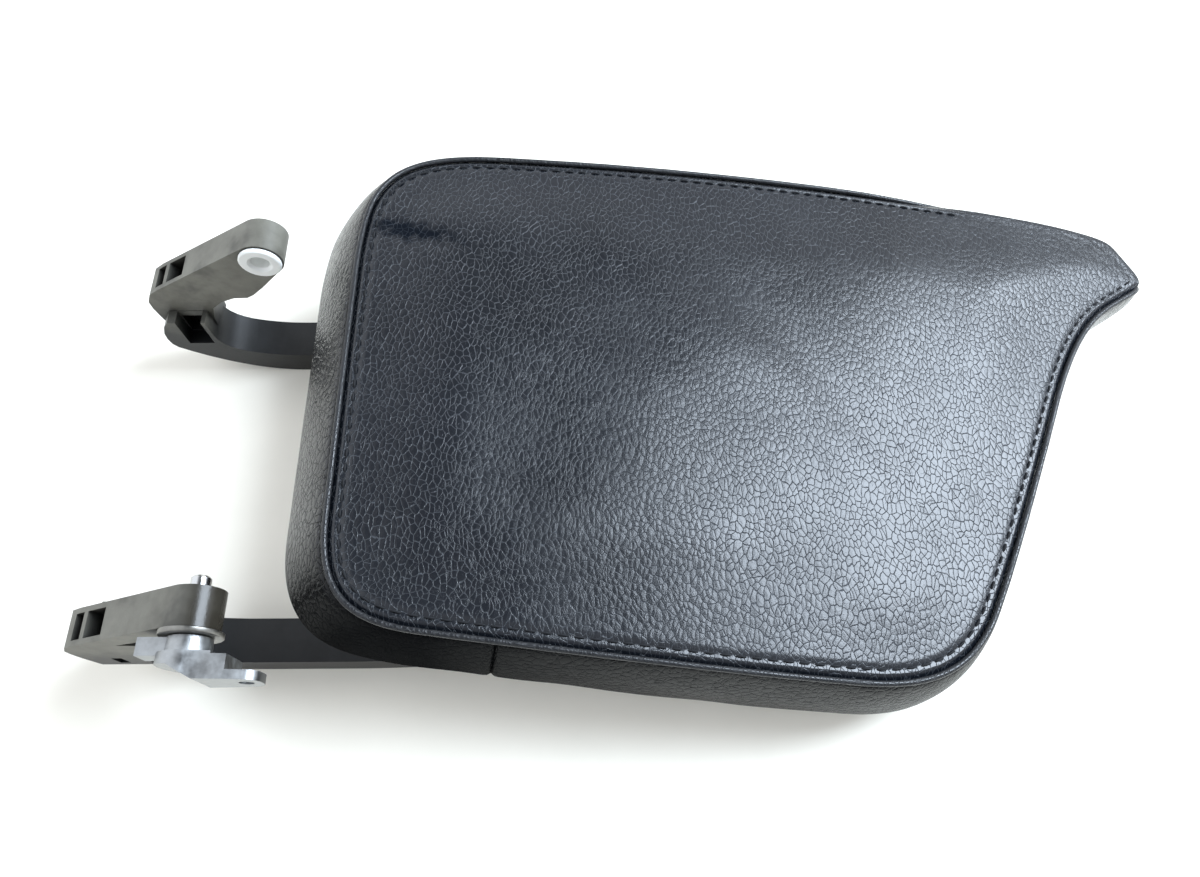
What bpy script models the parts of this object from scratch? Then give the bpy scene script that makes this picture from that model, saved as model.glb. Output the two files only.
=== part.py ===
"""Console armrest lid: a leather-wrapped pad on a moulded carrier, with two
gooseneck hinge arms and the hinge bracket and pivot pin of the near arm.

The lid lies as it rests on a flat surface, on the flat soles of its two arms
and on its front bumper, so the pad slopes down to the front by PAD_TILT.
+X runs from the hinge to the front tip, +Y to the far side, +Z up.  Metres.
"""
import math
import bpy
import bmesh
from mathutils import Vector, Matrix

MM = 0.001

# ---------------------------------------------------------------- dimensions
# The hinge axis is parallel to Y; X and Z of the profiles below are from it.
HINGE = Vector((-141.16, -82.89, 67.5))   # axis at the near arm's outer face
PAD_TILT = math.radians(8.5)             # slope of the pad, front down
PAD_REF = Vector((29.1, 0.0, 7.5))       # rear end of the seam plane, from HINGE
WALL_H = 24.0                            # height of the side wrap
REAR_FLARE, SIDE_FLARE, FRONT_FLARE = 14.0, 5.0, 6.0
SKIN = 1.6                               # leather and its scrim
GAP = 0.3
WELT_R = 1.5
SIDE_SEAM_U = 60.0                       # the wrap's two side seams
FOAM_BOTTOM = 17.0
CARRIER_TOP, CARRIER_T = 17.3, 2.5
LINER_TOP, LINER_BOTTOM, LINER_T = 20.1, 28.0, 2.0

BOSS_R = 8.0
ARM_T = 12.0                             # thickness of the upper run
STRIP_W, STRIP_H = 15.3, 11.9            # section of the lower run
JOG = 2.3                                # the lower run steps inwards
FAR_ARM_Y = 130.2                        # inner face of the far arm's boss
FOOT_T = 5.0                             # arm foot under the liner
FOOT_END = 152.0
PIN_R, PIN_END = 3.0, 16.4
BUSH_BARREL_R, BUSH_FLANGE_R, BUSH_FLANGE_T, BUSH_BORE_R = 4.8, 7.4, 1.5, 3.3
WASHER_R, WASHER_T = 9.2, 1.5

# Plan of the pad's seam line, drawn as Bezier spans: start, two handles,
# number of steps; each span ends where the next starts.  u forward, v across.
PAD_PLAN = [
    ((6.0, 125.0), (6.0, 95.0), (6.2, 64.0), 5),
    ((6.5, 34.0), (6.5, 11.0), (14.0, 1.5), 8),
    ((36.0, -1.0), (70.0, -4.6), (130.0, -10.8), 6),
    ((170.0, -13.0), (194.0, -14.5), (207.0, -7.5), 8),
    ((217.0, 7.5), (227.0, 24.0), (246.5, 64.5), 6),
    ((255.0, 82.5), (261.0, 95.5), (270.5, 115.0), 4),
    ((282.5, 126.0), (289.5, 132.5), (297.0, 136.0), 3),
    ((303.0, 140.2), (308.2, 143.6), (309.0, 149.0), 6),
    ((304.5, 154.5), (301.0, 159.5), (297.5, 165.0), 5),
    ((287.0, 167.6), (279.0, 169.6), (268.0, 171.2), 3),
    ((258.0, 172.2), (190.0, 179.5), (120.0, 180.5), 8),
    ((60.0, 177.0), (26.0, 175.8), (9.0, 169.0), 8),
    ((6.8, 140.0), (6.4, 135.0), (6.0, 130.0), 1),
]

ARM_SCREW_U = (95.0, 109.0, 123.0)
LINER_SCREWS = [(26.0, 45.0), (26.0, 108.0), (30.0, 160.0), (150.0, 26.0),
                (150.0, 160.0), (206.0, 12.0), (236.0, 72.0), (250.0, 158.0)]
BUMPERS = [(272.0, 146.0), (188.0, 4.0), (214.0, 158.0), (40.0, 76.0)]
BUMPER_H = 6.0

# ------------------------------------------------------------------- scene
for ob in list(bpy.data.objects):
    bpy.data.objects.remove(ob, do_unlink=True)
PARTS = bpy.data.collections.new("console_armrest_lid")
CUTS = bpy.data.collections.new("cutters")
bpy.context.scene.collection.children.link(PARTS)
bpy.context.scene.collection.children.link(CUTS)


def material(name, colour, rough, metal=0.0):
    m = bpy.data.materials.new(name)
    m.use_nodes = True
    b = m.node_tree.nodes["Principled BSDF"]
    b.inputs["Base Color"].default_value = (*colour, 1.0)
    b.inputs["Roughness"].default_value = rough
    b.inputs["Metallic"].default_value = metal
    return m


LOOKS = {
    "leather": ((0.022, 0.025, 0.031), 0.42, 0.0),
    "wrap": ((0.030, 0.032, 0.035), 0.5, 0.0),
    "foam": ((0.10, 0.10, 0.11), 0.95, 0.0),
    "carrier": ((0.020, 0.020, 0.021), 0.55, 0.0),
    "liner": ((0.045, 0.046, 0.048), 0.6, 0.0),
    "arm": ((0.13, 0.125, 0.11), 0.5, 0.0),
    "nylon": ((0.80, 0.81, 0.79), 0.35, 0.0),
    "steel": ((0.60, 0.60, 0.60), 0.2, 1.0),
    "zinc": ((0.47, 0.49, 0.51), 0.38, 1.0),
    "screw": ((0.10, 0.10, 0.11), 0.4, 1.0),
    "rubber": ((0.018, 0.018, 0.018), 0.85, 0.0),
}

lid_frame = bpy.data.objects.new("lid_frame", None)
lid_frame.location = (HINGE + PAD_REF) * MM
lid_frame.rotation_euler = (0.0, PAD_TILT, 0.0)
PARTS.objects.link(lid_frame)
hinge_frame = bpy.data.objects.new("hinge_axis", None)
hinge_frame.location = HINGE * MM
PARTS.objects.link(hinge_frame)
bpy.context.view_layer.update()


def add(name, bm, look, parent, smooth=30.0):
    """Make an object in its parent's frame from a bmesh in millimetres."""
    bmesh.ops.recalc_face_normals(bm, faces=bm.faces[:])
    me = bpy.data.meshes.new(name)
    bm.to_mesh(me)
    bm.free()
    me.transform(Matrix.Scale(MM, 4))
    if smooth:
        me.shade_smooth()
        me.set_sharp_from_angle(angle=math.radians(smooth))
    ob = bpy.data.objects.new(name, me)
    me.materials.append(material(name + "_look", *LOOKS[look]))
    PARTS.objects.link(ob)
    ob.parent = parent
    return ob


def cutter(name, bm, parent):
    bmesh.ops.recalc_face_normals(bm, faces=bm.faces[:])
    me = bpy.data.meshes.new(name)
    bm.to_mesh(me)
    bm.free()
    me.transform(Matrix.Scale(MM, 4))
    ob = bpy.data.objects.new(name, me)
    CUTS.objects.link(ob)
    ob.parent = parent
    ob.hide_render = True
    ob.display_type = "WIRE"
    return ob


def boolean(ob, other, op="DIFFERENCE"):
    m = ob.modifiers.new(op.lower(), "BOOLEAN")
    m.operation = op
    m.object = other
    m.solver = "EXACT"


# -------------------------------------------------------------- pad outline
def bezier(a, b, c, d, t):
    s = 1.0 - t
    return tuple(s ** 3 * a[i] + 3 * s * s * t * b[i] + 3 * s * t * t * c[i]
                 + t ** 3 * d[i] for i in (0, 1))


def pad_outline():
    pts = []
    for i, (a, b, c, n) in enumerate(PAD_PLAN):
        d = PAD_PLAN[(i + 1) % len(PAD_PLAN)][0]
        pts += [bezier(a, b, c, d, k / n) for k in range(n)]
    return pts


OUTLINE = pad_outline()


def normals(pts):
    out = []
    n = len(pts)
    for i in range(n):
        a, b = pts[i - 1], pts[(i + 1) % n]
        tx, ty = b[0] - a[0], b[1] - a[1]
        length = math.hypot(tx, ty)
        out.append((ty / length, -tx / length))
    return out


NORMALS = normals(OUTLINE)


def near_tip(u):
    """0 over most of the pad, rising to 1 at the tip."""
    t = min(1.0, max(0.0, (u - 260.0) / 26.0))
    return t * t * (3.0 - 2.0 * t)


def flare(n, u):
    """How far the foot of the wrap stands out; it is upright at the tip."""
    nx, ny = n
    return ((REAR_FLARE if nx < 0 else FRONT_FLARE) * nx * nx
            + SIDE_FLARE * ny * ny) * (1.0 - near_tip(u))


RIM = [(p[0] + n[0] * flare(n, p[0]), p[1] + n[1] * flare(n, p[0]))
       for p, n in zip(OUTLINE, NORMALS)]


def ring(depth, inset, plan=None):
    """Closed ring of points at a depth below the seam plane."""
    f = min(1.0, depth / WALL_H)
    bulge = 1.2 * math.sin(math.pi * f)
    out = []
    for i in range(len(OUTLINE)):
        a, b, n = OUTLINE[i], RIM[i], NORMALS[i]
        if plan:
            x, y = a
            off = -inset
            if plan == "liner":
                t = near_tip(a[0])
                off = -(inset * (1.0 - t) + (4.7 + 0.25 * (inset - 1.6)) * t)
        else:
            x = a[0] + (b[0] - a[0]) * f
            y = a[1] + (b[1] - a[1]) * f
            off = bulge - inset
        x += n[0] * off
        y += n[1] * off
        out.append(Vector((x, y, -depth)))
    return out


def loft(rings, cap=True, close=False):
    """Skin a stack of rings; the ends are capped, or joined to each other."""
    bm = bmesh.new()
    vs = [[bm.verts.new(p) for p in r] for r in rings]
    n = len(rings[0])
    stack = vs + [vs[0]] if close else vs
    for a, b in zip(stack, stack[1:]):
        for i in range(n):
            j = (i + 1) % n
            bm.faces.new((a[i], a[j], b[j], b[i]))
    if cap and not close:
        bm.faces.new(vs[0])
        bm.faces.new(list(reversed(vs[-1])))
    return bm


def run(sections):
    """Skin cross sections along an open run, with both ends capped."""
    bm = bmesh.new()
    vs = [[bm.verts.new(p) for p in s] for s in sections]
    m = len(sections[0])
    for a, b in zip(vs, vs[1:]):
        for i in range(m):
            j = (i + 1) % m
            bm.faces.new((a[i], a[j], b[j], b[i]))
    bm.faces.new(vs[0])
    bm.faces.new(list(reversed(vs[-1])))
    return bm


# ---------------------------------------------------------------- pad pieces
add("top_panel", loft([ring(2.2, 3.4, "seam"), ring(0.6, 3.4, "seam"),
                       ring(0.0, 4.6, "seam")]), "leather", lid_frame)

welt_sides = 6
welt = []
for k in range(welt_sides):
    a = 2 * math.pi * k / welt_sides
    r = []
    for p, n in zip(OUTLINE, NORMALS):
        off = -WELT_R - 0.1 + WELT_R * math.cos(a)
        r.append(Vector((p[0] + n[0] * off, p[1] + n[1] * off,
                         -1.2 + WELT_R * math.sin(a))))
    welt.append(r)
add("welt_piping", loft(welt, close=True), "wrap", lid_frame)

wrap_rings = [ring(3.0, 0.0), ring(9.0, 0.0), ring(16.0, 0.0), ring(24.0, 0.0),
              ring(24.0, SKIN), ring(16.0, SKIN), ring(9.0, SKIN),
              ring(3.0, SKIN)]


def wrap_section(s):
    """Cross section of the wrap at a place s, counted in outline steps."""
    i = int(math.floor(s))
    t = s - i
    n = len(OUTLINE)
    return [r[i % n].lerp(r[(i + 1) % n], t) for r in wrap_rings]


def crossing(i0, i1, u):
    """Outline place between two steps where the seam line passes u."""
    for i in range(i0, i1):
        a = OUTLINE[i % len(OUTLINE)][0]
        b = OUTLINE[(i + 1) % len(OUTLINE)][0]
        if (a - u) * (b - u) <= 0 and a != b:
            return i + (u - a) / (b - a)
    raise ValueError("no crossing")


near_s = crossing(5, 25, SIDE_SEAM_U)
far_s = crossing(40, len(OUTLINE), SIDE_SEAM_U + 3.0)


def wrap_piece(s0, s1):
    places = [s0] + [i for i in range(math.ceil(s0), math.floor(s1) + 1)
                     if s0 + 0.05 < i < s1 - 0.05] + [s1]
    return run([wrap_section(s) for s in places])


GAP_STEP = 0.012
add("side_wrap_front", wrap_piece(near_s + GAP_STEP, far_s - GAP_STEP),
    "wrap", lid_frame)
add("side_wrap_rear",
    wrap_piece(far_s + GAP_STEP, near_s + len(OUTLINE) - GAP_STEP),
    "wrap", lid_frame)

add("foam_pad", loft([ring(2.5, 3.6, "seam"), ring(3.4, SKIN + 0.5),
                      ring(9.0, SKIN + 0.5), ring(FOAM_BOTTOM, SKIN + 0.5)]),
    "foam", lid_frame)

# --------------------------------------------------------- carrier and liner
c0 = SKIN + 0.5
carrier = add("carrier_tray", loft([
    ring(CARRIER_TOP, c0), ring(WALL_H, c0), ring(WALL_H, c0 + 2.0),
    ring(CARRIER_TOP + CARRIER_T, c0 + 2.0)]), "carrier", lid_frame, 0)
liner = add("inner_liner", loft([
    ring(LINER_TOP, 1.6, "liner"), ring(LINER_BOTTOM - 3.0, 1.6, "liner"),
    ring(LINER_BOTTOM, 3.6, "liner"),
    ][::-1] + [ring(LINER_TOP, 3.8, "liner"),
               ring(LINER_BOTTOM - LINER_T, 5.0, "liner")]),
    "liner", lid_frame, 0)


def tube(r, z0, z1, x=0.0, y=0.0, seg=16, r2=None):
    bm = bmesh.new()
    bmesh.ops.create_cone(bm, cap_ends=True, segments=seg, radius1=r,
                          radius2=r if r2 is None else r2, depth=z1 - z0)
    bmesh.ops.translate(bm, verts=bm.verts, vec=(x, y, (z0 + z1) / 2))
    return bm


def screw(name, u, v, seat, shank_top, head_r, head_h, shank_r):
    """Pan-head screw driven upwards, head under its seat; with a socket."""
    top = -shank_top
    z0 = -seat - head_h
    prof = [(0.0, z0), (head_r * 0.7, z0), (head_r, z0 + head_h * 0.45),
            (head_r, z0 + head_h), (shank_r, z0 + head_h), (shank_r, top - 1.2),
            (shank_r * 0.45, top), (0.0, top)]
    bm = bmesh.new()
    seg = 12
    rings = []
    for r, z in prof[1:-1]:
        rings.append([bm.verts.new((u + r * math.cos(2 * math.pi * k / seg),
                                    v + r * math.sin(2 * math.pi * k / seg), z))
                      for k in range(seg)])
    for a, b in zip(rings, rings[1:]):
        for i in range(seg):
            j = (i + 1) % seg
            bm.faces.new((a[i], a[j], b[j], b[i]))
    bm.faces.new(list(reversed(rings[0])))
    bm.faces.new(rings[-1])
    return add(name, bm, "screw", lid_frame)


def box(x0, x1, y0, y1, z0, z1):
    bm = bmesh.new()
    bmesh.ops.create_cube(bm, size=1.0)
    bmesh.ops.scale(bm, verts=bm.verts, vec=(x1 - x0, y1 - y0, z1 - z0))
    bmesh.ops.translate(bm, verts=bm.verts,
                        vec=((x0 + x1) / 2, (y0 + y1) / 2, (z0 + z1) / 2))
    return bm


NEAR_V = JOG + STRIP_W / 2
FAR_V = FAR_ARM_Y + ARM_T - JOG - STRIP_W / 2
FOOT_SEAT = LINER_BOTTOM + GAP + FOOT_T

screws = []
for i, u in enumerate(ARM_SCREW_U):
    screws.append(("arm_screw_near_%d" % (i + 1), u, NEAR_V, FOOT_SEAT + GAP,
                   19.3, 4.0, 2.4, 1.8))
    screws.append(("arm_screw_far_%d" % (i + 1), u, FAR_V, FOOT_SEAT + GAP,
                   19.3, 4.0, 2.4, 1.8))
for i, (u, v) in enumerate(LINER_SCREWS):
    screws.append(("liner_screw_%d" % (i + 1), u, v, LINER_BOTTOM + GAP,
                   19.3, 3.5, 2.0, 1.6))
for name, u, v, seat, top, hr, hh, sr in screws:
    boss = cutter("boss_" + name, tube(sr + 2.6, -(LINER_BOTTOM - LINER_T - GAP),
                                       -(CARRIER_TOP + 0.8), u, v, 12), lid_frame)
    boolean(carrier, boss, "UNION")
for name, u, v, seat, top, hr, hh, sr in screws:
    hole = cutter("hole_" + name, tube(sr + GAP, -40.0, -(top - 0.8), u, v, 12),
                  lid_frame)
    boolean(carrier, hole)
    boolean(liner, hole)
    screw(name, u, v, seat, top, hr, hh, sr)

for i, (u, v) in enumerate(BUMPERS):
    seat = -(LINER_BOTTOM + GAP)
    h = BUMPER_H
    bm = tube(5.2, seat - h, seat, u, v, 16, 6.2)
    add("bumper_%d" % (i + 1), bm, "rubber", lid_frame)


# --------------------------------------------------------------- hinge arms
def sole(x):
    """Height of the arm's lower edge above the table."""
    if x < -2.0:
        return 0.0088 * (x + 2.0) ** 2
    if x > 31.0:
        return 0.0047 * (x - 31.0) ** 2
    return 0.0


def under(x, depth):
    """Height of a plane below the pad, at a depth under its seam plane."""
    return (HINGE.z + PAD_REF.z - math.tan(PAD_TILT) * (x - PAD_REF.x)
            - depth / math.cos(PAD_TILT))


def prism(pts, y0, y1):
    """Outline in X and Z, drawn as a face and pulled out along Y."""
    bm = bmesh.new()
    face = bm.faces.new([bm.verts.new((x, y0, z)) for x, z in pts])
    res = bmesh.ops.extrude_face_region(bm, geom=[face])
    verts = [g for g in res["geom"] if isinstance(g, bmesh.types.BMVert)]
    bmesh.ops.translate(bm, verts=verts, vec=(0.0, y1 - y0, 0.0))
    return bm


def upper_outline():
    pts = []
    for k in range(25):                       # boss, from its top to its heel
        a = math.radians(121.8 - k * (121.8 + 50.0) / 24)
        pts.append((BOSS_R * math.cos(a), BOSS_R * math.sin(a)))
    pts += [(0.8, -10.6), (-4.8, -16.6), (-9.6, -21.2), (-12.7, -23.2),
            (-17.8, -23.4), (-23.5, -26.0), (-28.0, -30.0), (-30.0, -36.0),
            (-31.0, -46.0), (-48.6, -46.0), (-50.2, -36.0), (-50.8, -30.0),
            (-50.6, -25.6),
            (-48.2, -21.0), (-44.0, -17.8)]
    return pts


def lower_outline():
    zh = HINGE.z
    xs = ([-48.0 + 2.3 * k for k in range(20)] + [-2.0 + 11.0 * k for k in range(4)]
          + [31.0 + 4.5 * k for k in range(1, 17)])
    low = [(x, sole(x) - zh) for x in xs]
    foot_low = [(110.0, under(110.0, FOOT_SEAT) - zh),
                (FOOT_END, under(FOOT_END, FOOT_SEAT) - zh),
                (FOOT_END, under(FOOT_END, LINER_BOTTOM + GAP) - zh),
                (101.5, under(101.5, LINER_BOTTOM + GAP) - zh)]
    top = [(x, sole(x) + STRIP_H - zh) for x in
           [93.0 - 5.2 * k for k in range(12)] + [31.0, 20.0, 9.0, -2.0, -6.0,
                                                   -10.0, -13.0, -16.0, -19.0,
                                                   -22.0]]
    heel = [(-24.8, 16.9 - zh), (-27.2, 18.7 - zh), (-29.2, 21.2 - zh),
            (-30.5, 24.2 - zh), (-31.0, 28.0 - zh), (-31.0, 36.0 - zh),
            (-45.3, 36.0 - zh), (-47.6, 33.0 - zh), (-49.4, 28.5 - zh),
            (-49.8, 24.5 - zh), (-49.4, 21.0 - zh)]
    return low + foot_low + top + heel


def arm(name, y_boss, side):
    """side -1: the near arm, whose lower run steps to +Y; +1: the far arm."""
    if side < 0:
        y0 = y_boss + JOG
    else:
        y0 = y_boss + ARM_T - JOG - STRIP_W
    ob = add(name, prism(upper_outline(), y_boss, y_boss + ARM_T), "arm",
             hinge_frame, 0)
    low = cutter(name + "_lower", prism(lower_outline(), y0, y0 + STRIP_W),
                 hinge_frame)
    boolean(ob, low, "UNION")
    bore = tube(BUSH_BARREL_R + GAP, -60.0, 60.0, 0, 0, 24)
    bmesh.ops.rotate(bm_ := bore, verts=bore.verts,
                     matrix=Matrix.Rotation(math.pi / 2, 3, "X"))
    bmesh.ops.translate(bm_, verts=bm_.verts, vec=(0, y_boss, 0))
    boolean(ob, cutter(name + "_bore", bm_, hinge_frame))
    # two lightening pockets in the outer band, near the nose
    slope = math.atan2(BOSS_R * math.sin(math.radians(121.8)) + 17.8,
                       BOSS_R * math.cos(math.radians(121.8)) + 44.0)
    for k, (x0, x1) in enumerate(((0.0, 4.6), (6.6, 15.8))):
        bm = box(x0, x1, 1.8, ARM_T - 1.8, -7.0, 8.0)
        bmesh.ops.rotate(bm, verts=bm.verts,
                         matrix=Matrix.Rotation(-slope, 3, "Y"))
        bmesh.ops.translate(bm, verts=bm.verts, vec=(-45.6, y_boss, -18.9))
        boolean(ob, cutter("%s_pocket_%d" % (name, k), bm, hinge_frame))
    # open notch in the neck's inner ledge, a deeper pocket, one through slot
    inner = y0 + STRIP_W if side < 0 else y0
    for k, (x0, x1, d, z0, z1) in enumerate(((-42.2, -32.6, 5.4, 21.6, 40.0),
                                             (-41.6, -33.4, 9.5, 23.2, 33.0))):
        ya, yb = ((inner - d, inner + 3) if side < 0 else (inner - 3, inner + d))
        bm = box(x0, x1, ya, yb, z0 - HINGE.z, z1 - HINGE.z)
        boolean(ob, cutter("%s_recess_%d" % (name, k), bm, hinge_frame))
    bm = box(-41.2, -37.8, y0 - 10, y0 + STRIP_W + 10, 24.2 - HINGE.z,
             31.0 - HINGE.z)
    boolean(ob, cutter(name + "_slot", bm, hinge_frame))
    outer, way = (y_boss, 1.0) if side < 0 else (y_boss + ARM_T, -1.0)
    bm = prism([(-30.5, -17.6), (-15.5, -10.4), (-15.5, -19.4)],
               outer - 3.0 * way, outer + 3.2 * way)
    boolean(ob, cutter(name + "_web", bm, hinge_frame))
    v = NEAR_V if side < 0 else FAR_V
    for k, u in enumerate(ARM_SCREW_U):
        boolean(ob, cutter("%s_foot_hole_%d" % (name, k),
                           tube(1.8 + GAP, -50.0, -20.0, u, v, 12), lid_frame))
    return ob


near_arm = arm("hinge_arm_near", 0.0, -1)
far_arm = arm("hinge_arm_far", FAR_ARM_Y, 1)


def turned(profile, seg=24):
    """Turn a closed (radius, y) profile about the hinge axis."""
    bm = bmesh.new()
    rings = []
    for r, y in profile:
        rings.append([bm.verts.new((r * math.cos(2 * math.pi * k / seg), y,
                                    r * math.sin(2 * math.pi * k / seg)))
                      for k in range(seg)])
    for a, b in zip(rings, rings[1:] + rings[:1]):
        for i in range(seg):
            j = (i + 1) % seg
            bm.faces.new((a[i], a[j], b[j], b[i]))
    return bm


fy = FAR_ARM_Y
add("bush_far", turned([
    (4.3, fy - GAP - BUSH_FLANGE_T), (BUSH_FLANGE_R - 0.5, fy - GAP - BUSH_FLANGE_T),
    (BUSH_FLANGE_R, fy - GAP - BUSH_FLANGE_T + 0.5), (BUSH_FLANGE_R, fy - GAP),
    (BUSH_BARREL_R, fy - GAP), (BUSH_BARREL_R, fy + ARM_T),
    (BUSH_BORE_R, fy + ARM_T), (BUSH_BORE_R, fy - GAP - BUSH_FLANGE_T + 1.0)]),
    "nylon", hinge_frame)
add("bush_near", turned([
    (BUSH_BORE_R, 0.0), (BUSH_BARREL_R, 0.0), (BUSH_BARREL_R, ARM_T),
    (BUSH_BORE_R, ARM_T)]), "nylon", hinge_frame)

# ----------------------------------------------- bracket, pin and washer
bracket_frame = bpy.data.objects.new("bracket_axis", None)
bracket_frame.location = HINGE * MM
PARTS.objects.link(bracket_frame)

BOSS_IN = -(GAP + WASHER_T + GAP)             # inner face of the bracket boss
PLATE_OUT, PIN_OUT = -14.6, -11.0            # outer faces of foot and pin
add("pivot_washer", turned([
    (PIN_R + GAP, -GAP - WASHER_T), (WASHER_R - 0.3, -GAP - WASHER_T),
    (WASHER_R, -GAP - WASHER_T + 0.4), (WASHER_R, -GAP), (PIN_R + GAP, -GAP)]),
    "steel", bracket_frame)

pin = bmesh.new()
rings = []
seg = 20
for r, y in ((2.3, PIN_END), (PIN_R, PIN_END - 0.7), (PIN_R, PIN_OUT + 0.4),
             (2.6, PIN_OUT)):
    rings.append([pin.verts.new((r * math.cos(2 * math.pi * k / seg), y,
                                 r * math.sin(2 * math.pi * k / seg)))
                  for k in range(seg)])
for a, b in zip(rings, rings[1:]):
    for i in range(seg):
        j = (i + 1) % seg
        pin.faces.new((a[i], a[j], b[j], b[i]))
pin.faces.new(rings[0])
pin.faces.new(list(reversed(rings[-1])))
add("pivot_pin", pin, "steel", bracket_frame)


def cyl_y(r, y0, y1, x=0.0, z=0.0, seg=24, r2=None):
    bm = tube(r, y0, y1, 0, 0, seg, r2)
    bmesh.ops.rotate(bm, verts=bm.verts, matrix=Matrix.Rotation(-math.pi / 2, 3, "X"))
    # after this turn local z runs along +Y
    bmesh.ops.translate(bm, verts=bm.verts, vec=(x, 0, z))
    return bm


def plate_outline():
    """The bracket from its side: round about the axis, with a foot ahead."""
    pts = []
    for k in range(17):
        a = math.radians(60 + k * 240 / 16)
        pts.append((8.4 * math.cos(a), 8.4 * math.sin(a)))
    pts += [(10.0, -7.0), (14.0, -6.6)]
    for k in range(7):
        a = math.radians(-90 + k * 90 / 6)
        pts.append((18.0 + 4.6 * math.cos(a), -1.6 + 4.6 * math.sin(a)))
    for k in range(7):
        a = math.radians(k * 90 / 6)
        pts.append((18.0 + 4.6 * math.cos(a), 1.0 + 4.6 * math.sin(a)))
    pts += [(14.0, 6.4), (10.0, 6.8)]
    return pts


def slab(pts, z0, z1):
    """Outline in X and Y, pulled out along Z."""
    bm = bmesh.new()
    face = bm.faces.new([bm.verts.new((x, y, z0)) for x, y in pts])
    res = bmesh.ops.extrude_face_region(bm, geom=[face])
    verts = [g for g in res["geom"] if isinstance(g, bmesh.types.BMVert)]
    bmesh.ops.translate(bm, verts=verts, vec=(0.0, 0.0, z1 - z0))
    return bm


# the plate steps outwards from the disc behind the boss to the foot
bracket = add("hinge_bracket", prism(plate_outline(), -20.0, 0.0),
              "zinc", bracket_frame, 0)
boolean(bracket, cutter("bracket_step", slab([
    (-12.0, -6.8), (9.2, -6.8), (9.2, -7.6), (13.6, -7.6), (13.6, -11.9),
    (26.0, -11.9), (26.0, PLATE_OUT), (5.0, PLATE_OUT), (-2.4, -10.6),
    (-12.0, -9.6)], -12.0, 12.0), bracket_frame), "INTERSECT")
boolean(bracket, cutter("bracket_boss", cyl_y(6.6, -8.6, BOSS_IN, seg=32, r2=6.4),
                        bracket_frame), "UNION")
boolean(bracket, cutter("bracket_stop", box(-13.6, -4.0, -7.6, BOSS_IN - 0.2,
                                            -3.6, 3.8), bracket_frame), "UNION")
boolean(bracket, cutter("bracket_bore", cyl_y(PIN_R + GAP, -20.0, 5.0, seg=20),
                        bracket_frame))
boolean(bracket, cutter("bracket_hole", cyl_y(2.2, -20.0, -8.0, 18.0, -0.3, 16),
                        bracket_frame))
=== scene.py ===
import math
import bpy
import bmesh
from mathutils import Vector, Matrix, noise, kdtree, geometry
from mathutils.bvhtree import BVHTree


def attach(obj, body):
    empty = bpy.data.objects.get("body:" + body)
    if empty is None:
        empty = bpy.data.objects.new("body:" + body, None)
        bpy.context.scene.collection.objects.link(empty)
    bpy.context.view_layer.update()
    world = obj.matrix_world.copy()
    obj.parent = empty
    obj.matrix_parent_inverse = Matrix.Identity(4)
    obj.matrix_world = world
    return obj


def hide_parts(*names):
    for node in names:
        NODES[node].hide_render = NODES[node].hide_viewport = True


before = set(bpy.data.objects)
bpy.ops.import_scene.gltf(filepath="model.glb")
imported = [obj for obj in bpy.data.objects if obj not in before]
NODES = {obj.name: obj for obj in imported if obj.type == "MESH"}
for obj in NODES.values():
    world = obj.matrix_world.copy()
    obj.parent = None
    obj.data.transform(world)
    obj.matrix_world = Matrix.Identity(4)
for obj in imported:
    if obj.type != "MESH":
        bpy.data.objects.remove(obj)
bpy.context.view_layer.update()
MM = 0.001

# ------------------------------------------------------------- the CAD's frame
HINGE = Vector((-141.16, -82.89, 67.5))
PAD_TILT = math.radians(8.5)
PAD_REF = Vector((29.1, 0.0, 7.5))
LID = (Matrix.Translation(HINGE + PAD_REF) @ Matrix.Rotation(PAD_TILT, 4, "Y"))
WALL_H = 24.0
REAR_FLARE, SIDE_FLARE, FRONT_FLARE = 14.0, 5.0, 6.0
SIDE_SEAM_U = 60.0

PAD_PLAN = [
    ((6.0, 125.0), (6.0, 95.0), (6.2, 64.0), 5),
    ((6.5, 34.0), (6.5, 11.0), (14.0, 1.5), 8),
    ((36.0, -1.0), (70.0, -4.6), (130.0, -10.8), 6),
    ((170.0, -13.0), (194.0, -14.5), (207.0, -7.5), 8),
    ((217.0, 7.5), (227.0, 24.0), (246.5, 64.5), 6),
    ((255.0, 82.5), (261.0, 95.5), (270.5, 115.0), 4),
    ((282.5, 126.0), (289.5, 132.5), (297.0, 136.0), 3),
    ((303.0, 140.2), (307.0, 142.6), (308.0, 145.6), 6),
    ((305.8, 149.8), (303.4, 154.2), (301.2, 158.2), 5),
    ((299.0, 162.0), (297.4, 164.8), (293.0, 166.2), 4),
    ((285.0, 168.0), (277.0, 169.9), (268.0, 171.2), 3),
    ((258.0, 172.2), (190.0, 179.5), (120.0, 180.5), 8),
    ((60.0, 177.0), (26.0, 175.8), (9.0, 169.0), 8),
    ((6.8, 140.0), (6.4, 135.0), (6.0, 130.0), 1),
]


def bezier(a, b, c, d, t):
    s = 1.0 - t
    return tuple(s ** 3 * a[i] + 3 * s * s * t * b[i] + 3 * s * t * t * c[i]
                 + t ** 3 * d[i] for i in (0, 1))


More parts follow.
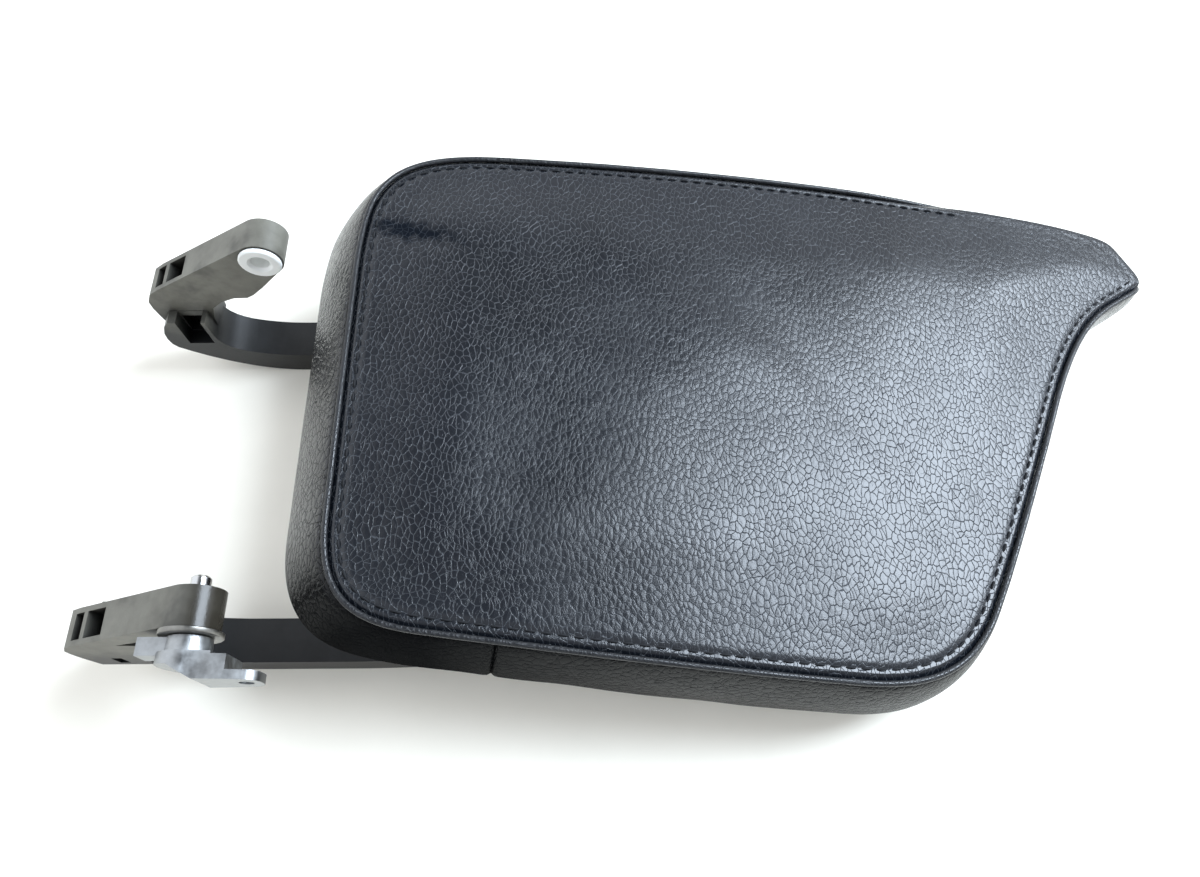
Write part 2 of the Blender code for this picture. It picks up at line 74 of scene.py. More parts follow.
def resample(pts, step, closed=True):
    """Points at even spacing along a polyline."""
    ring = pts + [pts[0]] if closed else pts
    acc = [0.0]
    for a, b in zip(ring, ring[1:]):
        acc.append(acc[-1] + math.hypot(b[0] - a[0], b[1] - a[1]))
    n = max(3, int(round(acc[-1] / step)))
    out, j = [], 0
    for k in range(n if closed else n + 1):
        s = acc[-1] * k / n
        while j < len(acc) - 2 and acc[j + 1] < s:
            j += 1
        t = (s - acc[j]) / max(1e-9, acc[j + 1] - acc[j])
        a, b = ring[j], ring[j + 1]
        out.append((a[0] + (b[0] - a[0]) * t, a[1] + (b[1] - a[1]) * t))
    return out


def normals_of(pts):
    out = []
    n = len(pts)
    for i in range(n):
        a, b = pts[i - 1], pts[(i + 1) % n]
        tx, ty = b[0] - a[0], b[1] - a[1]
        length = math.hypot(tx, ty)
        out.append((ty / length, -tx / length))
    return out


def smooth_ring(pts, times):
    for _ in range(times):
        n = len(pts)
        pts = [((pts[i - 1][0] + 2 * pts[i][0] + pts[(i + 1) % n][0]) / 4,
                (pts[i - 1][1] + 2 * pts[i][1] + pts[(i + 1) % n][1]) / 4)
               for i in range(n)]
    return pts


dense = []
for i, (a, b, c, n) in enumerate(PAD_PLAN):
    d = PAD_PLAN[(i + 1) % len(PAD_PLAN)][0]
    dense += [bezier(a, b, c, d, k / 40.0) for k in range(40)]
OUT = smooth_ring(resample(dense, 1.2), 4)
NRM = smooth_ring(normals_of(OUT), 3)
NRM = [(x / math.hypot(x, y), y / math.hypot(x, y)) for x, y in NRM]
N_OUT = len(OUT)

EDGE = kdtree.KDTree(N_OUT)
for i, p in enumerate(OUT):
    EDGE.insert((p[0], p[1], 0.0), i)
EDGE.balance()


def step01(a, b, x):
    t = min(1.0, max(0.0, (x - a) / (b - a)))
    return t * t * (3 - 2 * t)


def depth_in(x, y):
    """Distance from the seam line, in mm, for a place inside it."""
    return EDGE.find((x, y, 0.0))[2]


def spans(x):
    """The stretches across the pad that are inside the seam line at x."""
    ys = []
    for i in range(N_OUT):
        a, b = OUT[i - 1], OUT[i]
        if (a[0] <= x) != (b[0] <= x):
            ys.append(a[1] + (b[1] - a[1]) * (x - a[0]) / (b[0] - a[0]))
    ys.sort()
    return list(zip(ys[::2], ys[1::2]))


def flare(n, u):
    nx, ny = n
    return ((REAR_FLARE if nx < 0 else FRONT_FLARE) * nx * nx
            + SIDE_FLARE * ny * ny) * (1.0 - step01(260.0, 286.0, u))


def rolled(x, y):
    """How far the seam sinks at the far front, where the top rolls over."""
    return 4.6 * step01(188.0, 288.0, x + 0.35 * (y - 165.0)) * step01(
        139.0, 150.0, y)


def gauss(x, y, cx, cy, sx, sy, ang=0.0):
    c, s = math.cos(math.radians(ang)), math.sin(math.radians(ang))
    dx, dy = x - cx, y - cy
    a, b = c * dx + s * dy, -s * dx + c * dy
    return math.exp(-(a / sx) ** 2 - (b / sy) ** 2)


# ------------------------------------------------------------ mesh helpers
def make(name, bm, mat, local=True, smooth=40.0, body="lid"):
    """An object from a bmesh in mm, in the lid's frame or the world's."""
    bmesh.ops.recalc_face_normals(bm, faces=bm.faces[:])
    me = bpy.data.meshes.new(name)
    bm.to_mesh(me)
    bm.free()
    if local:
        me.transform(LID)
    me.transform(Matrix.Scale(MM, 4))
    me.shade_smooth()
    if smooth:
        me.set_sharp_from_angle(angle=math.radians(smooth))
    ob = bpy.data.objects.new(name, me)
    me.materials.append(mat)
    bpy.context.scene.collection.objects.link(ob)
    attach(ob, body)
    return ob


def skin(rings, closed_stack=False, closed_ring=True, cap=False):
    bm = bmesh.new()
    vs = [[bm.verts.new(p) for p in r] for r in rings]
    stack = vs + [vs[0]] if closed_stack else vs
    for a, b in zip(stack, stack[1:]):
        m = len(a)
        for i in range(m if closed_ring else m - 1):
            j = (i + 1) % m
            bm.faces.new((a[i], a[j], b[j], b[i]))
    if cap:
        bm.faces.new(vs[0])
        bm.faces.new(list(reversed(vs[-1])))
    return bm


# --------------------------------------------------------------- materials
def new_mat(name, base, rough, metal=0.0, spec=0.5):
    m = bpy.data.materials.new(name)
    m.use_nodes = True
    nt = m.node_tree
    b = nt.nodes["Principled BSDF"]
    b.inputs["Base Color"].default_value = (*base, 1.0)
    b.inputs["Roughness"].default_value = rough
    b.inputs["Metallic"].default_value = metal
    b.inputs["Specular IOR Level"].default_value = spec
    return m, nt, b


def node(nt, kind, **kw):
    n = nt.nodes.new(kind)
    for k, v in kw.items():
        if k in n.inputs:
            n.inputs[k].default_value = v
        else:
            setattr(n, k, v)
    return n


def coords(nt):
    return node(nt, "ShaderNodeTexCoord").outputs["Object"]


def noise_tex(nt, vec, scale, detail=3.0, rough=0.55):
    n = node(nt, "ShaderNodeTexNoise", Scale=scale, Detail=detail,
             Roughness=rough)
    nt.links.new(vec, n.inputs["Vector"])
    return n


def ramp(nt, fac, stops):
    r = node(nt, "ShaderNodeValToRGB")
    el = r.color_ramp.elements
    while len(el) < len(stops):
        el.new(0.5)
    for e, (p, c) in zip(el, stops):
        e.position = p
        e.color = (c, c, c, 1.0) if isinstance(c, float) else (*c, 1.0)
    nt.links.new(fac, r.inputs["Fac"])
    return r.outputs["Color"]


def math_node(nt, op, a, b):
    n = node(nt, "ShaderNodeMath", operation=op)
    for k, v in enumerate((a, b)):
        if isinstance(v, (int, float)):
            n.inputs[k].default_value = v
        else:
            nt.links.new(v, n.inputs[k])
    return n.outputs[0]


def bump(nt, height, strength, distance, b, prev=None):
    n = node(nt, "ShaderNodeBump", Strength=strength, Distance=distance)
    nt.links.new(height, n.inputs["Height"])
    if prev is not None:
        nt.links.new(prev, n.inputs["Normal"])
    nt.links.new(n.outputs["Normal"], b.inputs["Normal"])
    return n.outputs["Normal"]


def leather(name, base, crease, scale, depth, rough, width, fine, turn=25.0,
            lean=0.72, tone_lo=0.85, spec=0.5, mark=None, painted_side_gloss=None, flat=False):
    """Grained leather: soft pebbles in thin creases that wander, fork and fade."""
    m, nt, b = new_mat(name, base, rough, 0.0, spec)
    co = coords(nt)
    # the creases' run swings slowly from place to place
    mp = node(nt, "ShaderNodeMapping")
    mp.inputs["Rotation"].default_value = (0.0, 0.0, math.radians(turn))
    mp.inputs["Scale"].default_value = (1.0, lean, 1.0)
    nt.links.new(co, mp.inputs["Vector"])
    vec = mp.outputs["Vector"]
    for sc_mul, amt in ((0.10, 3.2), (0.5, 0.62), (1.7, 0.17)):
        warp = noise_tex(nt, co, scale * sc_mul, 2.0)
        sub = node(nt, "ShaderNodeVectorMath", operation="SUBTRACT")
        nt.links.new(warp.outputs["Color"], sub.inputs[0])
        sub.inputs[1].default_value = (0.5, 0.5, 0.5)
        sc = node(nt, "ShaderNodeVectorMath", operation="SCALE")
        nt.links.new(sub.outputs[0], sc.inputs[0])
        sc.inputs["Scale"].default_value = amt / scale
        add = node(nt, "ShaderNodeVectorMath", operation="ADD")
        nt.links.new(vec, add.inputs[0])
        nt.links.new(sc.outputs[0], add.inputs[1])
        vec = add.outputs[0]
    parts = []
    for mul, w in ((1.0, width), (1.9, width * 1.2)):
        v = node(nt, "ShaderNodeTexVoronoi", feature="DISTANCE_TO_EDGE",
                 voronoi_dimensions="2D" if flat else "3D",
                 Scale=scale * mul, Randomness=0.95)
        nt.links.new(vec, v.inputs["Vector"])
        parts.append(ramp(nt, v.outputs["Distance"],
                          [(0.0, 1.0), (w * 0.4, 0.66), (w, 0.10), (w * 1.8, 0.0)]))
    # a crease is deep in places, faint in others, and sometimes lost
    fade = ramp(nt, noise_tex(nt, co, scale * 0.85, 3.0).outputs["Fac"],
                [(0.34, 0.22), (0.48, 0.70), (0.62, 1.0)])
    big = math_node(nt, "MULTIPLY", parts[0], fade)
    weak = ramp(nt, noise_tex(nt, co, scale * 0.6, 2.0).outputs["Fac"],
                [(0.50, 0.0), (0.70, 0.16)])
    small = math_node(nt, "MULTIPLY", parts[1], weak)
    crack = math_node(nt, "MAXIMUM", big, small)
    v = node(nt, "ShaderNodeTexVoronoi", feature="SMOOTH_F1",
             voronoi_dimensions="2D" if flat else "3D", Scale=scale,
             Smoothness=0.9, Randomness=0.95)
    nt.links.new(vec, v.inputs["Vector"])
    dome = math_node(nt, "MULTIPLY", v.outputs["Distance"], -0.27)
    pores = noise_tex(nt, co, scale * 4.0, 3.0)
    h = math_node(nt, "MULTIPLY", crack, -0.62)
    h = math_node(nt, "ADD", h, dome)
    p = math_node(nt, "MULTIPLY", pores.outputs["Fac"], fine)
    h = math_node(nt, "ADD", h, p)
    bump(nt, h, 1.0, depth, b)
    # painted highlight: the creases get a colour lighter than the pebbles, standing for light caught on the
    # crease walls
    mix = node(nt, "ShaderNodeMix", data_type="RGBA")
    nt.links.new(crack, mix.inputs["Factor"])
    mix.inputs["A"].default_value = (*base, 1.0)
    mix.inputs["B"].default_value = (*crease, 1.0)
    cloud = noise_tex(nt, co, 16.0, 3.0)
    tone = ramp(nt, cloud.outputs["Fac"], [(0.3, tone_lo), (0.7, 1.15)])
    mul = node(nt, "ShaderNodeMix", data_type="RGBA", blend_type="MULTIPLY")
    mul.inputs["Factor"].default_value = 1.0
    nt.links.new(mix.outputs["Result"], mul.inputs["A"])
    nt.links.new(tone, mul.inputs["B"])
    nt.links.new(mul.outputs["Result"], b.inputs["Base Color"])
    if painted_side_gloss:           # painted reflection and shade: the coat is strong at the rear and weak on the near side, so the rear wall shines and the near wall stays dark
        at = node(nt, "ShaderNodeSeparateXYZ")
        nt.links.new(co, at.inputs[0])
        back = node(nt, "ShaderNodeMapRange", interpolation_type="SMOOTHSTEP")
        nt.links.new(at.outputs["Y"], back.inputs["Value"])
        back.inputs["From Min"].default_value = -0.088
        back.inputs["From Max"].default_value = -0.045
        back.inputs["To Max"].default_value = painted_side_gloss
        front = node(nt, "ShaderNodeMapRange")
        nt.links.new(at.outputs["X"], front.inputs["Value"])
        front.inputs["From Min"].default_value = -0.075
        front.inputs["From Max"].default_value = 0.010
        front.inputs["To Min"].default_value = 0.04
        front.inputs["To Max"].default_value = 0.55
        most = math_node(nt, "MAXIMUM", back.outputs["Result"],
                         front.outputs["Result"])
        nt.links.new(most, b.inputs["Coat Weight"])
        nt.links.new(b.inputs["Normal"].links[0].from_socket,
                     b.inputs["Coat Normal"])
        b.inputs["Coat Roughness"].default_value = rough
        b.inputs["Coat IOR"].default_value = 1.5
    if mark:                                   # a dull smear, matt and darker
        at, ang, long, short = mark
        mm = node(nt, "ShaderNodeMapping", vector_type="TEXTURE")
        mm.inputs["Location"].default_value = at
        mm.inputs["Rotation"].default_value = (0.0, 0.0, math.radians(ang))
        mm.inputs["Scale"].default_value = (long, short, 10.0)
        nt.links.new(co, mm.inputs["Vector"])
        ln = node(nt, "ShaderNodeVectorMath", operation="LENGTH")
        nt.links.new(mm.outputs["Vector"], ln.inputs[0])
        wob = noise_tex(nt, co, 260.0, 3.0)
        ld = math_node(nt, "MULTIPLY_ADD", wob.outputs["Fac"], 0.9)
        nt.links.new(ln.outputs["Value"], ld.node.inputs[2])
        dull = ramp(nt, ld, [(0.66, 0.02), (1.08, spec)])
        nt.links.new(dull, b.inputs["Specular IOR Level"])
    wear = noise_tex(nt, co, 34.0, 4.0)
    r = ramp(nt, wear.outputs["Fac"], [(0.32, rough * 0.86), (0.68, rough * 1.14)])
    rr = node(nt, "ShaderNodeMix", data_type="FLOAT")
    nt.links.new(crack, rr.inputs["Factor"])
    nt.links.new(r, rr.inputs["A"])
    rr.inputs["B"].default_value = 0.70
    nt.links.new(rr.outputs["Result"], b.inputs["Roughness"])
    return m


def moulded(name, base, rough, grain, depth, var=0.12, spec=0.5):
    """Spark-textured or plain moulded plastic."""
    m, nt, b = new_mat(name, base, rough, 0.0, spec)
    co = coords(nt)
    fine = noise_tex(nt, co, grain, 2.0)
    bump(nt, fine.outputs["Fac"], 0.6, depth, b)
    cloud = noise_tex(nt, co, 60.0, 4.0)
    lo = tuple(c * (1 - var) for c in base)
    hi = tuple(min(1.0, c * (1 + var)) for c in base)
    nt.links.new(ramp(nt, cloud.outputs["Fac"], [(0.3, lo), (0.7, hi)]),
                 b.inputs["Base Color"])
    nt.links.new(ramp(nt, cloud.outputs["Fac"],
                      [(0.3, rough * 0.85), (0.7, min(1.0, rough * 1.15))]),
                 b.inputs["Roughness"])
    return m


def arm_plastic(name):
    """Black moulding: near black and glossy low down, a lighter warm grey higher up on the hooks, with
    painted shade in its pockets.
    """
    m, nt, b = new_mat(name, (0.02, 0.02, 0.02), 0.4, 0.0, 0.32)
    co = coords(nt)
    xyz = node(nt, "ShaderNodeSeparateXYZ")
    nt.links.new(co, xyz.inputs[0])
    streak = noise_tex(nt, co, 75.0, 5.0, 0.6)
    s1 = math_node(nt, "MULTIPLY_ADD", streak.outputs["Fac"], 0.016)
    nt.links.new(xyz.outputs["Z"], s1.node.inputs[2])
    # colour set by height: near black below, a lighter warm grey above
    f = ramp(nt, s1, [(0.0, 0.0), (0.034, 0.0), (0.052, 1.0)])
    mix = node(nt, "ShaderNodeMix", data_type="RGBA")
    nt.links.new(f, mix.inputs["Factor"])
    mix.inputs["A"].default_value = (0.012, 0.013, 0.014, 1.0)
    warm = ramp(nt, streak.outputs["Fac"], [(0.3, (0.098, 0.094, 0.078)),
                                            (0.7, (0.170, 0.166, 0.140))])
    nt.links.new(warm, mix.inputs["B"])
    # painted shade: ambient occlusion darkens the base colour in pockets, recesses and corners; the blot
    # below is random tone
    ao = node(nt, "ShaderNodeAmbientOcclusion", Distance=0.014, samples=6)
    painted_cavity_shade = ramp(nt, ao.outputs["AO"], [(0.30, 0.06), (0.62, 0.80), (0.95, 1.0)])
    blot = ramp(nt, noise_tex(nt, co, 42.0, 4.0, 0.65).outputs["Fac"],
                [(0.36, 0.50), (0.50, 0.92), (0.70, 1.08)])
    cavity_shade_and_blot = node(nt, "ShaderNodeMix", data_type="RGBA", blend_type="MULTIPLY")
    cavity_shade_and_blot.inputs["Factor"].default_value = 1.0
    nt.links.new(painted_cavity_shade, cavity_shade_and_blot.inputs["A"])
    nt.links.new(blot, cavity_shade_and_blot.inputs["B"])
    mul = node(nt, "ShaderNodeMix", data_type="RGBA", blend_type="MULTIPLY")
    mul.inputs["Factor"].default_value = 1.0
    nt.links.new(mix.outputs["Result"], mul.inputs["A"])
    nt.links.new(cavity_shade_and_blot.outputs["Result"], mul.inputs["B"])
    grease = None
    for axis, lo, hi in (("X", -0.1475, -0.1365), ("Y", -0.050, -0.058),
                         ("Z", 0.046, 0.058)):
        mr = node(nt, "ShaderNodeMapRange", interpolation_type="SMOOTHSTEP")
        wob = math_node(nt, "MULTIPLY_ADD", streak.outputs["Fac"], 0.010)
        nt.links.new(xyz.outputs[axis], wob.node.inputs[2])
        nt.links.new(wob, mr.inputs["Value"])
        mr.inputs["From Min"].default_value = lo + 0.005
        mr.inputs["From Max"].default_value = hi + 0.005
        grease = (mr.outputs["Result"] if grease is None
                  else math_node(nt, "MULTIPLY", grease, mr.outputs["Result"]))
    wet = node(nt, "ShaderNodeMix", data_type="RGBA")
    nt.links.new(math_node(nt, "MULTIPLY", grease, 0.85), wet.inputs["Factor"])
    nt.links.new(mul.outputs["Result"], wet.inputs["A"])
    wet.inputs["B"].default_value = (0.016, 0.013, 0.009, 1.0)
    nt.links.new(wet.outputs["Result"], b.inputs["Base Color"])
    rough = ramp(nt, f, [(0.0, 0.42), (1.0, 0.50)])
    wr = node(nt, "ShaderNodeMix", data_type="FLOAT")
    nt.links.new(grease, wr.inputs["Factor"])
    nt.links.new(rough, wr.inputs["A"])
    wr.inputs["B"].default_value = 0.24
    nt.links.new(wr.outputs["Result"], b.inputs["Roughness"])
    fine = noise_tex(nt, co, 1300.0, 3.0)
    wave = noise_tex(nt, co, 110.0, 3.0)
    h = math_node(nt, "MULTIPLY_ADD", fine.outputs["Fac"], 0.25)
    nt.links.new(wave.outputs["Fac"], h.node.inputs[2])
    bump(nt, h, 0.5, 0.00022, b)
    return m


def metal(name, base, rough, grain, depth, var=0.1):
    m, nt, b = new_mat(name, base, rough, 1.0, 0.5)
    co = coords(nt)
    n = noise_tex(nt, co, grain, 4.0, 0.6)
    bump(nt, n.outputs["Fac"], 0.5, depth, b)
    lo = tuple(c * (1 - var) for c in base)
    hi = tuple(min(1.0, c * (1 + var)) for c in base)
    blot = noise_tex(nt, co, 240.0, 4.0)
    nt.links.new(ramp(nt, blot.outputs["Fac"], [(0.3, lo), (0.7, hi)]),
                 b.inputs["Base Color"])
    nt.links.new(ramp(nt, blot.outputs["Fac"],
                      [(0.3, rough * 0.7), (0.7, min(1.0, rough * 1.35))]),
                 b.inputs["Roughness"])
    return m


SMEAR = LID @ Vector((24.5, 139.0, 0.0)) * MM
M_TOP = leather("leather_top", (0.0044, 0.0058, 0.0086), (0.038, 0.045, 0.055),
                590.0, 0.00024, 0.235, 0.058, 0.14, lean=0.64, spec=0.46, flat=True,
                mark=(SMEAR, -12.0, 0.034, 0.0105))
M_WRAP = leather("leather_wrap", (0.0028, 0.0031, 0.0035), (0.006, 0.0065, 0.007),
                 440.0, 0.00058, 0.27, 0.10, 0.16, 70.0, 0.9, spec=0.0, painted_side_gloss=1.0)
M_WELT = leather("leather_welt", (0.006, 0.007, 0.009), (0.012, 0.013, 0.015),
                 700.0, 0.00016, 0.27, 0.12, 0.10, spec=0.42)
M_THREAD = moulded("thread", (0.011, 0.012, 0.014), 0.7, 6000.0, 0.00006, spec=0.2)
M_ARM = arm_plastic("arm_plastic")
M_CARRIER = moulded("carrier_plastic", (0.014, 0.014, 0.015), 0.5, 1500.0, 0.00006)
M_LINER = moulded("liner_plastic", (0.030, 0.031, 0.033), 0.58, 1700.0, 0.00012)
M_RUBBER = moulded("rubber", (0.014, 0.014, 0.014), 0.8, 1200.0, 0.00008)
M_NYLON = moulded("nylon", (0.80, 0.81, 0.79), 0.36, 700.0, 0.00003, 0.03)
M_FOAM = moulded("foam", (0.09, 0.09, 0.10), 0.95, 1400.0, 0.0004)
M_PIN = metal("pin_steel", (0.46, 0.46, 0.46), 0.16, 900.0, 0.000015, 0.05)
M_WASHER = metal("washer_steel", (0.20, 0.195, 0.18), 0.36, 900.0, 0.00003, 0.3)
M_ZINC = metal("zinc", (0.29, 0.30, 0.305), 0.40, 420.0, 0.00016, 0.24)
M_SCREW = metal("screw_steel", (0.10, 0.10, 0.11), 0.38, 900.0, 0.00003, 0.1)

for names, mat in ((("hinge_arm_near", "hinge_arm_far"), M_ARM),
                   (("carrier_tray",), M_CARRIER), (("inner_liner",), M_LINER),
                   (("bush_near", "bush_far"), M_NYLON), (("pivot_pin",), M_PIN),
                   (("pivot_washer",), M_WASHER), (("hinge_bracket",), M_ZINC),
                   ([n for n in NODES if "screw" in n], M_SCREW),
                   ([n for n in NODES if n.startswith("bumper")], M_RUBBER)):
    for n in names:
        me = NODES[n].data
        me.materials.clear()
        me.materials.append(mat)

for n, ob in NODES.items():
    for a in ("custom_normal", "sharp_edge"):
        if a in ob.data.attributes:
            ob.data.attributes.remove(ob.data.attributes[a])
    ob.data.shade_smooth()
    wd = ob.modifiers.new("weld", "WELD")
    wd.merge_threshold = 0.00002
    md = ob.modifiers.new("edges", "BEVEL")
    md.width = {"hinge_arm_near": 0.7, "hinge_arm_far": 0.7, "hinge_bracket": 0.5,
                "inner_liner": 0.5}.get(n, 0.12) * MM
    md.segments = 3 if n.startswith("hinge") else 2
    md.limit_method = "ANGLE"
    md.angle_limit = math.radians(38)
    md.harden_normals = True

# -------------------------------------------------------------- foam core
def core_rings():
    rings = []
    for inset, z in ((6.0, -2.6), (4.8, -4.0), (4.2, -10.0), (4.4, -16.5)):
        rings.append([Vector((p[0] - n[0] * inset, p[1] - n[1] * inset, z))
                      for p, n in zip(OUT[::3], NRM[::3])])
    return rings


def crown(d):
    return 4.6 * (1.0 - math.exp(-max(0.0, d - 3.0) / 17.0))


def sim_core():
    """The foam's crowned top, blown up as cloth from a slightly smaller body."""
    bm = bmesh.new()
    ring2d = [(p[0] - n[0] * 4.0, p[1] - n[1] * 4.0)
              for p, n in zip(OUT[::4], NRM[::4])]
    top = [bm.verts.new((x, y, -1.0)) for x, y in ring2d]
    bot = [bm.verts.new((x, y, -16.0)) for x, y in ring2d]
    bm.faces.new(top)
    bm.faces.new(list(reversed(bot)))
    m = len(top)
    for i in range(m):
        j = (i + 1) % m
        bm.faces.new((top[j], top[i], bot[i], bot[j]))
    bmesh.ops.recalc_face_normals(bm, faces=bm.faces[:])
    me = bpy.data.meshes.new("foam_core")
    bm.to_mesh(me)
    bm.free()
    me.transform(Matrix.Scale(MM, 4))
    ob = bpy.data.objects.new("foam_core", me)
    sc = bpy.context.scene
    sc.collection.objects.link(ob)
    rm = ob.modifiers.new("remesh", "REMESH")
    rm.mode = "VOXEL"
    rm.voxel_size = 0.005
    dg = bpy.context.evaluated_depsgraph_get()
    base = bpy.data.meshes.new_from_object(ob.evaluated_get(dg))
    ob.modifiers.clear()
    ob.data = base
    before = [v.co.copy() for v in base.vertices]
    hold = ob.vertex_groups.new(name="hold")
    for v in base.vertices:
        x, y, z = (c / MM for c in v.co)
        if z < -3.0 or depth_in(x, y) < 5.5:
            hold.add([v.index], 1.0, "REPLACE")
    cl = ob.modifiers.new("cloth", "CLOTH")
    cs = cl.settings
    cs.use_pressure = True
    cs.uniform_pressure_force = 4.0
    cs.effector_weights.gravity = 0.0
    cs.vertex_group_mass = "hold"
    cl.point_cache.frame_start = 1
    cl.point_cache.frame_end = 20
    for f in range(1, 21):
        sc.frame_set(f)
    dg = bpy.context.evaluated_depsgraph_get()
    out = bpy.data.meshes.new_from_object(ob.evaluated_get(dg))
    ob.modifiers.clear()
    ob.data = out
    sc.frame_set(1)
    cap = 6.0 * MM
    for v, b0 in zip(out.vertices, before):
        d = v.co - b0
        if d.length > cap:
            v.co = b0 + d * (cap / d.length)
    return ob


core = None
core = sim_core()
core_bvh = BVHTree.FromPolygons([v.co / MM for v in core.data.vertices],
                                [list(p.vertices) for p in core.data.polygons])
held_z = sorted(v.co.z / MM for v in core.data.vertices
                if 3.0 < depth_in(v.co.x / MM, v.co.y / MM) < 5.5
                and v.co.z / MM > -8.0)
held_z = held_z[len(held_z) // 2]


def sim_height(x, y, d):
    """Height of the simulated core above the held edge, eased in from it."""
    if core is None:
        return crown(d)
    hit = core_bvh.ray_cast(Vector((x, y, 60.0)), Vector((0, 0, -1)))[0]
    h = max(0.0, hit.z - held_z) if hit is not None else 0.0
    return 2.6 * (1.0 - math.exp(-h / 3.0)) * step01(0.5, 42.0, d)


# --------------------------------------------------------------- top panel
def top_height(x, y, d, core_h):
    z = -0.4 + core_h
    edge = 1.0 - 0.95 * step01(0.5, 3.0, rolled(x, y))
    z -= edge * 1.7 * math.exp(-((d - 1.5) / 1.15) ** 2)   # groove by the welt
    z -= edge * 0.45 * math.exp(-((d - 4.8) / 0.8) ** 2)   # pulled in at the stitches
    ease = step01(4.0, 30.0, d)
    z += ease * (0.9 * noise.noise(Vector((x * 0.011, y * 0.013, 3.1)))
                 + 0.35 * noise.noise(Vector((x * 0.03, y * 0.033, 8.4))))
    z -= 1.0 * gauss(x, y, 62.0, 52.0, 40.0, 24.0, 45.0)   # soft settled hollow
    z -= 0.85 * gauss(x, y, 180.8, 73.2, 42.0, 8.0, -56.0)    # slack folds
    z += 0.45 * gauss(x, y, 132.6, 104.2, 38.0, 11.0, -36.2)
    z -= 0.40 * gauss(x, y, 150.0, 22.0, 60.0, 10.0, 8.0)
    z -= 0.5 * gauss(x, y, 27.0, 138.0, 14.0, 4.0, -12.0)  # short pressed mark
    return z


def build_top():
    pts, fixed = [], []
    rings = (1.5, 2.0, 2.5, 3.2, 3.9, 4.6, 5.3, 6.2, 7.4, 9.0)
    for d in rings:
        for p, n in list(zip(OUT, NRM))[::1 if d == rings[0] else 2]:
            q = (p[0] - n[0] * d, p[1] - n[1] * d)
            if d == rings[0] or (depth_in(*q) > d - 0.12 and any(
                    lo < q[1] < hi for lo, hi in spans(q[0]))):
                pts.append(q)
    n_ring = N_OUT
    s = 2.4
    x = -10.0
    row = 0
    while x < 320.0:
        for lo, hi in spans(x):
            y = lo + 5.0 + (s / 2 if row % 2 else 0.0)
            while y < hi - 5.0:
                if depth_in(x, y) > 10.2:
                    pts.append((x, y))
                y += s
        x += s * 0.866
        row += 1
    edges = [(i, (i + 1) % n_ring) for i in range(n_ring)]
    vs, _, faces, *_ = geometry.delaunay_2d_cdt(
        [Vector(p) for p in pts], edges, [], 1, 1e-4)
    bm = bmesh.new()
    top = []
    for v in vs:
        d = depth_in(v.x, v.y)
        top.append(bm.verts.new((v.x, v.y,
                                 top_height(v.x, v.y, d, sim_height(v.x, v.y, d)))))
    for f in faces:
        bm.faces.new([top[i] for i in f])
    bmesh.ops.recalc_face_normals(bm, faces=bm.faces[:])
    for _ in range(2):
        inner = [v for v in bm.verts if not v.is_boundary
                 and depth_in(v.co.x, v.co.y) > 9.0]
        bmesh.ops.smooth_vert(bm, verts=inner, factor=0.5, use_axis_z=True)
    rim = []
    for i, (p, n) in enumerate(zip(OUT, NRM)):
        q = (p[0] - n[0] * rings[0], p[1] - n[1] * rings[0])
        rim.append(min((v for v in bm.verts if v.is_boundary),
                       key=lambda v: (v.co.x - q[0]) ** 2 + (v.co.y - q[1]) ** 2)
                   if i == 0 else None)
    loop, v = [rim[0]], rim[0]
    prev = None
    while True:                                            # walk the boundary
        nxt = [e.other_vert(v) for e in v.link_edges if e.is_boundary]
        nxt = [w for w in nxt if w is not prev]
        prev, v = v, nxt[0]
        if v is loop[0]:
            break
        loop.append(v)
    row = loop
    for k in range(1, 6):
        a = math.radians(18.0 * k)
        new = []
        for v in loop:
            i = EDGE.find((v.co.x, v.co.y, 0.0))[1]
            n = NRM[i]
            w = rolled(*OUT[i]) / 4.6
            out = (0.25 + 1.75 * w) * math.sin(a)
            down = (1.1 + 3.3 * w) * (1.0 - math.cos(a))
            new.append(bm.verts.new((v.co.x + n[0] * out, v.co.y + n[1] * out,
                                     v.co.z - down)))
        for i in range(len(row)):
            j = (i + 1) % len(row)
            bm.faces.new((row[i], row[j], new[j], new[i]))
        row = new
    ob = make("top_leather", bm, M_TOP, smooth=0)
    so = ob.modifiers.new("thickness", "SOLIDIFY")
    so.thickness = 1.2 * MM
    so.offset = -1.0
    return ob


top = build_top()
if top.data.polygons[0].normal.z < 0:
    top.data.flip_normals()
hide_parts("top_panel")

if core is None:
    bm = skin(core_rings(), cap=True)
    core = make("foam_core", bm, M_FOAM)
else:
    core.data.transform(Matrix.Scale(1 / MM, 4))
    for v in core.data.vertices:                # under the leather everywhere
        d = depth_in(v.co.x, v.co.y)
        v.co.z = min(v.co.z - 1.8, top_height(
            v.co.x, v.co.y, d, sim_height(v.co.x, v.co.y, d)) - 2.0)
    core.data.transform(Matrix.Scale(MM, 4) @ LID)
    core.data.materials.clear()
    core.data.materials.append(M_FOAM)
    core.data.shade_smooth()
    core.modifiers.new("subdivision", "SUBSURF").levels = 1
    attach(core, "lid")
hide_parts("foam_pad")

